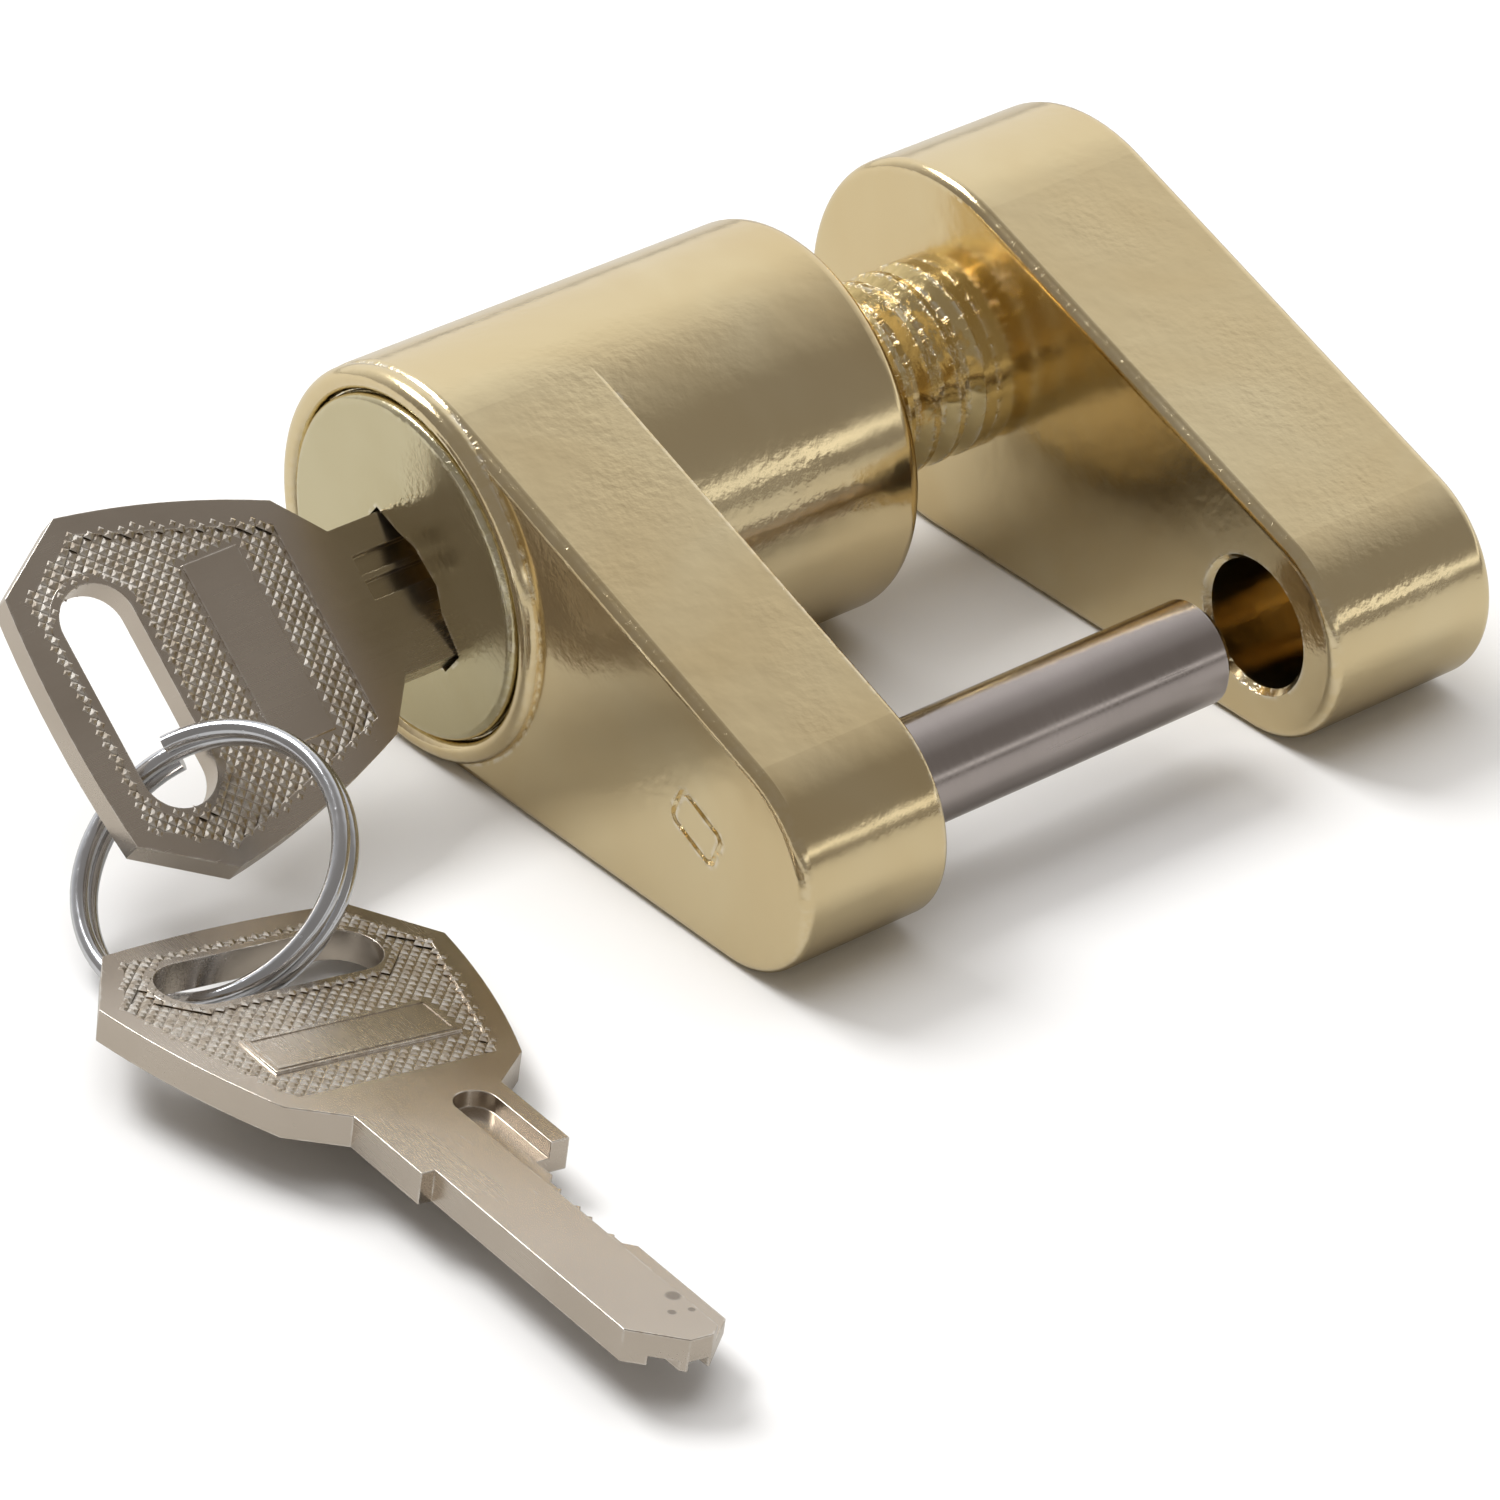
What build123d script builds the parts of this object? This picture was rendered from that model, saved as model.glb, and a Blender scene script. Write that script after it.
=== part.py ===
from build123d import *
import math
import os

# Coupler pin lock: a near link with a lock barrel and a fixed steel pin, and a far link whose
# ringed post slides into the barrel.  The lock lies on one side, with both links on the ground.
# Frame: millimetres, +Z up, +X from the key side to the far link, the arms reach towards -Y.
# Origin: on the pin's axis, where the pin leaves the near link.

# ---- overall sizes ----------------------------------------------------------------------
pin_diameter = 6.35
arm_end_radius = 7.0
barrel_radius = 12.0
arm_reach = 28.6
near_thickness = 10.0
barrel_tail = 17.6
link_gap = 28.2
far_thickness = 12.2
far_bore_depth = 10.2
pin_reach = 24.2
pin_shank_diameter = 5.6
pin_blind_wall = 2.0
pin_chamfer = 0.6
edge_radius = 0.7
rear_edge_radius = 0.35
barrel_edge_radius = 1.0
overshoot = 1.0
maker_mark_at = (2.6, 0.5)
maker_mark_turn = 25
maker_mark_size = (4.2, 2.8)
maker_mark_line = 0.35
maker_mark_depth = 0.2

# ---- fits -------------------------------------------------------------------------------
running_clearance = 0.06
seat_clearance = 0.05
slip_clearance = 0.15
keyway_ease = 0.1
far_bore_clearance = 0.8

# ---- ringed post and latch --------------------------------------------------------------
post_radius = 6.0
post_wall = 1.5
post_inside = 3.8
post_chamfer = 0.3
spigot_radius = 4.0
spigot_length = 7.0
bore_mouth_chamfer = 0.35
ring_pitch = 1.9
ring_depth = 0.75
ring_crest = 0.4
blade_room = 1.0
ring_count = 7
closing_steps = 5
nose_inset = 2.6
latch_lift = 0.9
latch_rest_gap = 0.3
latch_tail = 0.5
latch_width = 3.6
latch_height = 1.7
latch_nose_depth = 0.6
latch_nose_half = 0.9
latch_nose_tip_half = 0.1
latch_spring_room = 1.6
latch_spring_radius = 1.1
latch_spring_wire = 0.3
latch_spring_turns = 2.5
latch_spring_inset = (4.0, 3.0)
follower_half_width = 0.5

# ---- lock cylinder ----------------------------------------------------------------------
shell_radius = 9.5
shell_length = 10.4
plug_radius = 5.0
plug_head_radius = 6.9
plug_head_length = 2.0
plug_tail_radius = 4.75
cam_thickness = 1.6
cam_high_radius = 6.3
cam_room = 0.5
clip_thickness = 0.5
clip_gap = 2.4
face_radius = 10.4
face_thickness = 1.9
face_stands_proud = 0.9
face_edge_radius = 0.5
rim_stands_proud = 0.8
wafer_count = 5
wafer_thickness = 0.8
wafer_pitch = 1.5
wafer_lead = 1.3
wafer_slot_ease = 0.05
broach_lead = 0.3
broach_depth = 0.5
wafer_half_width = 2.2
wafer_travel = 0.4
tab_width = 0.8
tab_reach = 0.9
spring_pocket_low = 0.4
spring_pocket_high = 3.1
wafer_spring_radius = 0.26
wafer_spring_wire = 0.13
wafer_spring_turns = 3.5
opening_ease = 0.12
opening_swell = [(-3.0, 0.7), (-1.6, 1.5), (1.0, 1.6), (2.4, 0.6)]

# ---- key --------------------------------------------------------------------------------
key_thickness = 1.9
key_roll = 40.0
key_offset = 1.3
bow_length = 17.7
bow_end_half = 7.85
bow_chamfer = 5.0
bow_half = 11.15
bow_root_half = 7.6
bow_end_bulge = 0.45
bow_flank_bulge = 0.45
stem_root = 20.0
stem_half = 4.7
stem_end = 26.4
blade_half = 3.85
blade_tip = 45.8
blade_edge = 2.7
tip_slope = (2.3, 2.55)
blade_step = 1.0
channel_middle = 2.2
channel_width = 2.6
ward_grooves = (-2.2, -0.6)
ward_width = 1.2
ward_depth = 0.55
ward_start = 0.6
channel_start = 1.4
bow_slot_at = 4.5
bow_slot_half = 2.3
bow_slot_length = 14.0
bow_border = 1.3
bow_recess = 0.15
bow_field_inset = 0.6
label_at = 12.6
label_length = 3.7
label_width = 11.9
bitting = [2.2, 1.7, 2.0, 1.6, 2.1]
cut_floor_half = 0.35
cut_top = 3.0
key_insertion = 2.0

# ---- spare key on the ground --------------------------------------------------------------
spare_from_key = (1.337, -12.581, -8.182)
spare_heading = -93.1
spare_lean = 9.64
spare_dip = 1.84

# ---- split ring -------------------------------------------------------------------------
ring_radius = 8.0
ring_wire = 1.05
ring_gap = 0.08
ring_from_key = (2.677, -9.934, -5.206)
ring_normal = (0.673, 0.177, -0.911)
ring_start_towards = (0.294, 0.874, 0.387)

# ---- derived places ---------------------------------------------------------------------
near_front = -near_thickness
barrel_rear = barrel_tail
far_inner = link_gap
far_outer = link_gap + far_thickness
axis_y = arm_reach
axis_z = barrel_radius - arm_end_radius
closing_travel = closing_steps * ring_pitch
post_end = barrel_rear - post_inside
closed_post_end = post_end - closing_travel
nose_x = barrel_rear - nose_inset
post_bore_radius = post_radius - post_wall
shell_front = near_front + face_thickness - face_stands_proud
shell_rear = shell_front + shell_length
cam_front = shell_rear + slip_clearance
cam_rear = cam_front + cam_thickness
clip_rear = cam_rear + clip_thickness
plug_front = shell_front + seat_clearance
plug_body_front = plug_front + plug_head_length
key_origin_x = near_front + key_insertion - stem_end
wafer_first = plug_body_front + wafer_lead
latch_channel_front = shell_rear + seat_clearance
latch_channel_rear = nose_x + latch_nose_half + latch_tail
latch_low = post_radius + latch_lift + latch_rest_gap
tab_middle = wafer_half_width + tab_reach / 2
channel_roof = latch_low + latch_height + latch_spring_room

roll = math.radians(key_roll)
key_across = (0.0, -math.cos(roll), -math.sin(roll))
key_up = (0.0, -math.sin(roll), math.cos(roll))

os.makedirs("parts", exist_ok=True)


def keep(name, part):
    """Label a finished piece and write its STEP file."""
    part.label = name
    export_step(part, f"parts/{name}.step")


def section(x):
    """A plane across the barrel at x: local x is +Y, local y is +Z."""
    return Plane(origin=(x, 0, 0), x_dir=(0, 1, 0), z_dir=(1, 0, 0))


def barrel_section(x):
    """The same plane, centred on the barrel's axis."""
    return Plane(origin=(x, axis_y, axis_z), x_dir=(0, 1, 0), z_dir=(1, 0, 0))


def key_section(x):
    """A plane across the key at x: local x runs towards the bitting, local y against key_up."""
    return Plane(origin=(x, axis_y, axis_z), x_dir=key_across, z_dir=(1, 0, 0))


def link_outline(plane):
    """The tapered link's outline: two circles joined by their outer tangents."""
    drop = barrel_radius - arm_end_radius
    reach = math.hypot(arm_reach, axis_z)
    lean = math.asin(drop / reach)
    run = math.atan2(-axis_z, -arm_reach)
    corners = []
    for side in (1, -1):
        normal = run + side * (math.pi / 2 - lean)
        across = (math.cos(normal), math.sin(normal))
        big = (axis_y + barrel_radius * across[0], axis_z + barrel_radius * across[1])
        small = (arm_end_radius * across[0], arm_end_radius * across[1])
        corners += [big, small] if side > 0 else [small, big]
    with BuildSketch(plane) as outline:
        with Locations((axis_y, axis_z)):
            Circle(barrel_radius)
        Circle(arm_end_radius)
        with BuildLine():
            Polyline(*corners, close=True)
        make_face()
    return outline.sketch


# ---- near link and barrel, one casting ---------------------------------------------------
with BuildPart() as lock_body:
    extrude(link_outline(section(near_front)), amount=near_thickness)
    fillet(lock_body.edges().filter_by(GeomType.LINE, reverse=True).group_by(Axis.X)[-1], rear_edge_radius)
    fillet(lock_body.edges().group_by(Axis.X)[0], edge_radius)
    with BuildSketch(barrel_section(near_front + edge_radius)):
        Circle(barrel_radius)
    extrude(amount=near_thickness + barrel_tail - edge_radius)
    fillet(lock_body.edges().group_by(Axis.X)[-1], barrel_edge_radius)
    # Rounded rim that is rolled in over the face plate.
    with BuildSketch(Plane(origin=(near_front, axis_y, axis_z), x_dir=(1, 0, 0), z_dir=(0, -1, 0))):
        rim_mid = (face_radius + seat_clearance + barrel_radius) / 2
        with Locations((0, rim_mid)):
            Ellipse(rim_stands_proud, (barrel_radius - face_radius - seat_clearance) / 2 - seat_clearance)
    revolve(axis=Axis((near_front, axis_y, axis_z), (1, 0, 0)))
    # Cavities: face plate seat, cylinder seat, cam room, post bore and latch channel.
    with BuildSketch(barrel_section(near_front - rim_stands_proud - overshoot)):
        Circle(face_radius + seat_clearance)
    extrude(amount=face_thickness - face_stands_proud + rim_stands_proud + overshoot, mode=Mode.SUBTRACT)
    with BuildSketch(barrel_section(shell_front - seat_clearance)):
        Circle(shell_radius + seat_clearance)
    extrude(amount=shell_length + 2 * seat_clearance, mode=Mode.SUBTRACT)
    with BuildSketch(barrel_section(shell_rear)):
        Circle(cam_high_radius + cam_room)
    extrude(amount=clip_rear - shell_rear + slip_clearance, mode=Mode.SUBTRACT)
    with BuildSketch(barrel_section(shell_rear)):
        Circle(post_radius + running_clearance)
    extrude(amount=barrel_rear - shell_rear + overshoot, mode=Mode.SUBTRACT)
    with BuildSketch(Plane(origin=(latch_channel_front, axis_y, axis_z), x_dir=(0, 1, 0), z_dir=(1, 0, 0))):
        with Locations((0, channel_roof / 2)):
            Rectangle(latch_width + 2 * slip_clearance, channel_roof)
    extrude(amount=latch_channel_rear - latch_channel_front, mode=Mode.SUBTRACT)
    with BuildSketch(section(0)):
        Circle(pin_shank_diameter / 2)
    extrude(amount=pin_blind_wall - near_thickness, mode=Mode.SUBTRACT)
    # Plain stamped frame where a maker would put a mark.
    with BuildSketch(section(near_front)):
        with Locations(maker_mark_at):
            RectangleRounded(*maker_mark_size, maker_mark_size[1] / 4, rotation=maker_mark_turn)
            RectangleRounded(
                maker_mark_size[0] - 2 * maker_mark_line,
                maker_mark_size[1] - 2 * maker_mark_line,
                maker_mark_size[1] / 6,
                rotation=maker_mark_turn,
                mode=Mode.SUBTRACT,
            )
    extrude(amount=maker_mark_depth, mode=Mode.SUBTRACT)
keep("lock_body", lock_body.part)

# ---- pin, its thinner shank pressed into the near link ------------------------------------
with BuildPart() as hitch_pin:
    with BuildSketch(section(0)):
        Circle(pin_diameter / 2)
    extrude(amount=pin_reach)
    chamfer(hitch_pin.edges().group_by(Axis.X)[-1], pin_chamfer)
    with BuildSketch(section(pin_blind_wall - near_thickness)):
        Circle(pin_shank_diameter / 2)
    extrude(amount=near_thickness - pin_blind_wall)
keep("hitch_pin", hitch_pin.part)

# ---- far link ----------------------------------------------------------------------------
far_bore_radius = pin_diameter / 2 + far_bore_clearance
with BuildPart() as far_link:
    extrude(link_outline(section(far_inner)), amount=far_thickness)
    fillet(far_link.edges().group_by(Axis.X)[0], edge_radius)
    fillet(far_link.edges().group_by(Axis.X)[-1], edge_radius)
    with BuildSketch(section(far_inner - overshoot)):
        Circle(far_bore_radius)
    extrude(amount=far_bore_depth + overshoot, mode=Mode.SUBTRACT)
    with BuildSketch(barrel_section(far_inner - overshoot)):
        Circle(spigot_radius)
    extrude(amount=spigot_length + overshoot, mode=Mode.SUBTRACT)
    bore_circles = far_link.edges().filter_by(GeomType.CIRCLE)
    bore_circles = bore_circles.filter_by(lambda edge: abs(edge.radius - far_bore_radius) < seat_clearance)
    chamfer(bore_circles.sort_by(Axis.X)[0], bore_mouth_chamfer)
keep("far_link", far_link.part)

# ---- ringed post, pressed into the far link by its spigot ---------------------------------
groove_half = (ring_pitch - ring_crest) / 2
with BuildPart() as ringed_post:
    with BuildSketch(barrel_section(post_end)):
        Circle(post_radius)
    extrude(amount=far_inner - post_end)
    chamfer(ringed_post.edges().group_by(Axis.X)[0], post_chamfer)
    with BuildSketch(barrel_section(far_inner)):
        Circle(spigot_radius)
    extrude(amount=spigot_length)
    with BuildSketch(Plane(origin=(0, axis_y, axis_z), x_dir=(1, 0, 0), z_dir=(0, -1, 0))):
        for index in range(ring_count):
            centre = nose_x + index * ring_pitch
            with BuildLine():
                Polyline(
                    (centre - groove_half, post_radius),
                    (centre, post_radius - ring_depth),
                    (centre + groove_half, post_radius),
                    close=True,
                )
            make_face()
    revolve(axis=Axis((0, axis_y, axis_z), (1, 0, 0)), mode=Mode.SUBTRACT)
    with BuildSketch(barrel_section(post_end)):
        Circle(post_bore_radius)
    extrude(amount=key_origin_x + blade_tip + closing_travel + blade_room - post_end, mode=Mode.SUBTRACT)
keep("ringed_post", ringed_post.part)


# ---- face plate with the key opening ------------------------------------------------------
def opening_outline(plane):
    """The key opening: a slot for the stem that swells in the middle."""
    half = stem_half + 2 * opening_ease
    flat = key_thickness / 2 + opening_ease
    swell = [(key_offset + across, flat + rise) for across, rise in opening_swell]
    upper = [(key_offset - half, flat), *swell, (key_offset + half, flat)]
    lower = [(across, -rise) for across, rise in reversed(upper)]
    with BuildSketch(plane) as opening:
        with BuildLine():
            Polyline(*upper, *lower, close=True)
        make_face()
    return opening.sketch


with BuildPart() as face_plate:
    with BuildSketch(barrel_section(near_front - face_stands_proud)):
        Circle(face_radius)
    extrude(amount=face_thickness - seat_clearance)
    fillet(face_plate.edges().group_by(Axis.X)[0], face_edge_radius)
    extrude(
        opening_outline(key_section(near_front - face_stands_proud - overshoot)),
        amount=face_thickness + 2 * overshoot,
        mode=Mode.SUBTRACT,
    )
keep("face_plate", face_plate.part)

# ---- fixed shell of the lock cylinder -----------------------------------------------------
with BuildPart() as cylinder_shell:
    with BuildSketch(barrel_section(shell_front)):
        Circle(shell_radius)
    extrude(amount=shell_length)
    with BuildSketch(barrel_section(shell_front)):
        Circle(plug_head_radius + running_clearance)
    extrude(amount=plug_head_length + 2 * seat_clearance, mode=Mode.SUBTRACT)
    with BuildSketch(barrel_section(shell_front)):
        Circle(plug_radius + running_clearance)
    extrude(amount=shell_length, mode=Mode.SUBTRACT)
    # Broached grooves that the wafers drop into, at the locked and the open position.
    with BuildSketch(key_section(plug_body_front + broach_lead)):
        with PolarLocations(0, 4):
            with Locations((plug_radius, 0)):
                Rectangle(2 * (wafer_travel + broach_depth), 2 * (wafer_half_width + slip_clearance))
    extrude(amount=shell_rear - plug_body_front - broach_lead, mode=Mode.SUBTRACT)
keep("cylinder_shell", cylinder_shell.part)

# ---- plug ---------------------------------------------------------------------------------
blade_low = key_offset - blade_half
blade_high = key_offset + blade_edge
keyway_low = blade_low - slip_clearance
keyway_high = blade_high + slip_clearance
keyway_centre = (keyway_low + keyway_high) / 2
keyway_half_thick = key_thickness / 2 + keyway_ease


def wafer_x(index):
    """Where the middle of a wafer stands."""
    return wafer_first + index * wafer_pitch


with BuildPart() as plug:
    with BuildSketch(barrel_section(plug_front)):
        Circle(plug_head_radius)
    extrude(amount=plug_head_length)
    with BuildSketch(barrel_section(plug_body_front)):
        Circle(plug_radius)
    extrude(amount=shell_rear - plug_body_front)
    with BuildSketch(barrel_section(shell_rear)):
        Circle(plug_tail_radius)
    extrude(amount=clip_rear - shell_rear)
    with BuildSketch(key_section(plug_front)):
        with Locations((key_offset, 0)):
            Rectangle(2 * (stem_half + slip_clearance), 2 * keyway_half_thick)
    extrude(amount=near_front + key_insertion + slip_clearance - plug_front, mode=Mode.SUBTRACT)
    with BuildSketch(key_section(plug_front)):
        with Locations((keyway_centre, 0)):
            Rectangle(keyway_high - keyway_low, 2 * keyway_half_thick)
    extrude(amount=clip_rear - plug_front, mode=Mode.SUBTRACT)
    for index in range(wafer_count):
        with BuildSketch(key_section(wafer_x(index) - wafer_thickness / 2 - wafer_slot_ease)):
            Rectangle(2 * plug_radius + overshoot, 2 * (wafer_half_width + wafer_slot_ease))
            with Locations(((spring_pocket_low + spring_pocket_high - wafer_travel) / 2, -tab_middle)):
                Rectangle(
                    spring_pocket_high - spring_pocket_low + wafer_travel + 2 * wafer_slot_ease,
                    tab_reach + 2 * wafer_slot_ease,
                )
        extrude(amount=wafer_thickness + 2 * wafer_slot_ease, mode=Mode.SUBTRACT)
keep("plug", plug.part)

# ---- wafers, one for each cut in the key ---------------------------------------------------
window_high = blade_high + wafer_travel + wafer_slot_ease
for index in range(wafer_count):
    with BuildPart() as wafer:
        with BuildSketch(key_section(wafer_x(index) - wafer_thickness / 2)):
            Rectangle(2 * plug_radius, 2 * wafer_half_width)
            Circle(plug_radius - wafer_slot_ease, mode=Mode.INTERSECT)
            with Locations(((keyway_low + window_high) / 2, 0)):
                Rectangle(window_high - keyway_low, 2 * keyway_half_thick, mode=Mode.SUBTRACT)
            with Locations((spring_pocket_low + tab_width / 2, -tab_middle)):
                Rectangle(tab_width, tab_reach)
        extrude(amount=wafer_thickness)
    keep(f"wafer_{index + 1}", wafer.part)


# ---- cam and its retaining clip on the plug's tail -----------------------------------------
def cam_radius(turn):
    """The cam falls evenly by the latch's lift over a quarter turn."""
    return cam_high_radius - latch_lift * min(max(turn, 0), 90) / 90


with BuildPart() as plug_cam:
    with BuildSketch(barrel_section(cam_front)):
        with BuildLine():
            rise = Spline(
                *[
                    (
                        cam_radius(turn) * math.cos(math.radians(90 + turn)),
                        cam_radius(turn) * math.sin(math.radians(90 + turn)),
                    )
                    for turn in range(-30, 121, 10)
                ]
            )
            ThreePointArc(rise @ 1, (0, -cam_radius(90)), rise @ 0)
        make_face()
        Circle(plug_tail_radius + seat_clearance, mode=Mode.SUBTRACT)
    extrude(amount=cam_thickness)
keep("plug_cam", plug_cam.part)

with BuildPart() as plug_clip:
    with BuildSketch(barrel_section(cam_rear + seat_clearance)):
        Circle(cam_high_radius - latch_lift - slip_clearance)
        Circle(plug_tail_radius + seat_clearance / 2, mode=Mode.SUBTRACT)
        with Locations((-plug_tail_radius, 0)):
            Rectangle(clip_gap, clip_gap, mode=Mode.SUBTRACT)
    extrude(amount=clip_thickness - 2 * seat_clearance)
keep("plug_clip", plug_clip.part)

# ---- latch bar: a follower on the cam in front, a nose over the post's grooves behind -------
latch_plane = Plane(origin=(0, axis_y, axis_z), x_dir=(1, 0, 0), z_dir=(0, -1, 0))
latch_front = latch_channel_front + seat_clearance
follower_low = cam_high_radius + slip_clearance
nose_low = post_radius + latch_lift - latch_nose_depth
with BuildPart() as latch_bar:
    with BuildSketch(latch_plane):
        with BuildLine():
            Polyline(
                (latch_front, latch_low),
                (nose_x - latch_nose_half, latch_low),
                (nose_x - latch_nose_tip_half, nose_low),
                (nose_x + latch_nose_tip_half, nose_low),
                (nose_x + latch_nose_half, latch_low),
                (nose_x + latch_nose_half, latch_low + latch_height),
                (latch_front, latch_low + latch_height),
                close=True,
            )
        make_face()
    extrude(amount=latch_width / 2, both=True)
    with BuildSketch(latch_plane):
        with Locations(((latch_front + cam_rear) / 2, (follower_low + latch_low) / 2)):
            Rectangle(cam_rear - latch_front, latch_low - follower_low)
    extrude(amount=follower_half_width, both=True)
keep("latch_bar", latch_bar.part)


def coil(centre, direction, radius, wire, turns, length):
    """Wind one small compression spring from centre along direction."""
    with BuildPart() as spring:
        with BuildLine() as path:
            Helix(pitch=length / turns, height=length, radius=radius, center=centre, direction=direction)
        with BuildSketch(Plane(origin=path.line @ 0, z_dir=path.line % 0)):
            Circle(wire / 2)
        sweep(is_frenet=True)
    return spring.part


# ---- springs ------------------------------------------------------------------------------
latch_springs = Compound(
    children=[
        coil(
            (x, axis_y, axis_z + latch_low + latch_height + latch_spring_wire),
            (0, 0, 1),
            latch_spring_radius,
            latch_spring_wire,
            latch_spring_turns,
            channel_roof - latch_low - latch_height - 2 * latch_spring_wire,
        )
        for x in (latch_front + latch_spring_inset[0], nose_x - latch_spring_inset[1])
    ]
)
keep("latch_springs", latch_springs)


def on_key_section(x, across, up):
    """A point given by its distance along the key's width and its thickness."""
    return tuple(
        base + across * side + up * rise
        for base, side, rise in zip((x, axis_y, axis_z), key_across, key_up)
    )


wafer_springs = Compound(
    children=[
        coil(
            on_key_section(wafer_x(index), spring_pocket_low + tab_width + wafer_spring_wire, tab_middle),
            key_across,
            wafer_spring_radius,
            wafer_spring_wire,
            wafer_spring_turns,
            spring_pocket_high - spring_pocket_low - tab_width - 2 * wafer_spring_wire,
        )
        for index in range(wafer_count)
    ]
)
keep("wafer_springs", wafer_springs)


# ---- keys ---------------------------------------------------------------------------------
def cut_place(index):
    """Where along the key a cut stands when the key is home."""
    return wafer_x(index) - key_origin_x


def key_blank(plane):
    """The key's outline on a plane: +X to the tip, +Y to the bitting side."""
    with BuildSketch(plane) as blank:
        for side in (1, -1):
            with BuildLine():
                end = ThreePointArc(
                    (-bow_end_bulge, 0),
                    (-bow_end_bulge * 3 / 4, side * bow_end_half / 2),
                    (0, side * bow_end_half),
                )
                shoulder = Line(end @ 1, (bow_chamfer, side * bow_half))
                flank_middle = (bow_half + bow_root_half) / 2 + bow_flank_bulge
                flank = ThreePointArc(
                    shoulder @ 1,
                    ((bow_chamfer + bow_length) / 2, side * flank_middle),
                    (bow_length, side * bow_root_half),
                )
                Polyline(flank @ 1, (stem_root, side * stem_half), (stem_root, 0), end @ 0)
            make_face()
        with Locations(((stem_root + stem_end) / 2, 0)):
            Rectangle(stem_end - stem_root, 2 * stem_half)
        with BuildLine():
            Polyline(
                (stem_end, -blade_half),
                (blade_tip - tip_slope[0], -blade_half),
                (blade_tip - tip_slope[0] / 3, -blade_half + tip_slope[1] * 2 / 3),
                (blade_tip, -blade_half + tip_slope[1]),
                (blade_tip, blade_edge - tip_slope[1]),
                (blade_tip - tip_slope[0], blade_edge),
                (stem_end, blade_edge),
                close=True,
            )
        make_face()
    return blank.sketch


def bow_field(plane):
    """The sunk, knurled field of the bow, inside its raised border."""
    inner = 1 - bow_border / bow_half
    with BuildSketch(plane) as field:
        with BuildLine():
            Polyline(
                (bow_border, -(bow_end_half - bow_field_inset)),
                (bow_chamfer + bow_field_inset, -bow_half * inner),
                (bow_length - bow_field_inset, -(bow_root_half - bow_border)),
                (bow_length - bow_field_inset, bow_root_half - bow_border),
                (bow_chamfer + bow_field_inset, bow_half * inner),
                (bow_border, bow_end_half - bow_field_inset),
                close=True,
            )
        make_face()
        with Locations((bow_slot_at, 0)):
            SlotOverall(
                bow_slot_length + 2 * bow_field_inset,
                2 * (bow_slot_half + bow_field_inset),
                rotation=90,
                mode=Mode.SUBTRACT,
            )
        with Locations((label_at, 0)):
            Rectangle(label_length, label_width, mode=Mode.SUBTRACT)
    return field.sketch


def make_key(plane):
    """Cut one key with its middle plane on the given plane."""
    face_a = plane.offset(key_thickness / 2)
    face_b = plane.offset(-key_thickness / 2)
    with BuildPart() as key:
        extrude(key_blank(face_b), amount=key_thickness)
        with BuildSketch(face_b):
            with Locations((bow_slot_at, 0)):
                SlotOverall(bow_slot_length, 2 * bow_slot_half, rotation=90)
        extrude(amount=key_thickness, mode=Mode.SUBTRACT)
        extrude(bow_field(face_a), amount=-bow_recess, mode=Mode.SUBTRACT)
        extrude(bow_field(face_b), amount=bow_recess, mode=Mode.SUBTRACT)
        # Milled channel on one face: it leaves a rib along the stem and a thin flange on the blade.
        with BuildSketch(face_a):
            with Locations((stem_root + channel_start, channel_middle)):
                Circle(channel_width / 2)
                Rectangle(blade_tip - stem_root, channel_width, align=(Align.MIN, Align.CENTER))
        extrude(amount=-blade_step, mode=Mode.SUBTRACT)
        # Ward grooves on the other face.
        with BuildSketch(face_b):
            for across in ward_grooves:
                with Locations((stem_root + ward_start, across)):
                    Rectangle(blade_tip - stem_root, ward_width, align=(Align.MIN, Align.CENTER))
        extrude(amount=ward_depth, mode=Mode.SUBTRACT)
        # Cuts for the wafers.
        with BuildSketch(face_b):
            for index, height in enumerate(bitting):
                place = cut_place(index)
                with BuildLine():
                    Polyline(
                        (place - cut_floor_half, height),
                        (place + cut_floor_half, height),
                        (place + cut_floor_half + cut_top - height, cut_top),
                        (place - cut_floor_half - cut_top + height, cut_top),
                        close=True,
                    )
                make_face()
        extrude(amount=key_thickness, mode=Mode.SUBTRACT)
    return key.part


bow_end = on_key_section(key_origin_x, key_offset, 0)
home_plane = Plane(
    origin=bow_end,
    x_dir=(1, 0, 0),
    z_dir=tuple(-part for part in key_up),
)
keep("key_in_lock", make_key(home_plane))

heading = math.radians(spare_heading)
lean = math.radians(spare_lean)
dip = math.radians(spare_dip)
spare_along = (
    math.cos(heading) * math.cos(dip),
    math.sin(heading) * math.cos(dip),
    -math.sin(dip),
)
spare_origin = tuple(start + step for start, step in zip(bow_end, spare_from_key))
spare_plane = Plane(origin=spare_origin, x_dir=spare_along, z_dir=(math.sin(lean), 0, math.cos(lean)))
keep("spare_key", make_key(spare_plane))

# ---- split ring: two turns of wire that lie side by side ------------------------------------
ring_rise = ring_wire + ring_gap
ring_centre = tuple(start + step for start, step in zip(bow_end, ring_from_key))
ring_plane = Plane(origin=ring_centre, x_dir=ring_start_towards, z_dir=ring_normal)
ring_turns = 2
ring_coil = coil((0, 0, -ring_rise), (0, 0, 1), ring_radius, ring_wire, ring_turns, ring_turns * ring_rise)
split_ring = ring_plane.location * ring_coil
keep("split_ring", split_ring)
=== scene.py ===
# %% [markdown]
# # Coupler pin lock in Blender
# The lock is a finished assembly already: the CAD model gives every piece in its place, in metres.
# This lesson gives it its looks. The castings, the pin, the post and the ring keep their CAD shape and get
# a finish that matches how each was made. The two keys get finer meshes that stand for the CAD ones,
# because a stamped key is all small edges and coined diamonds.

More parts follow.
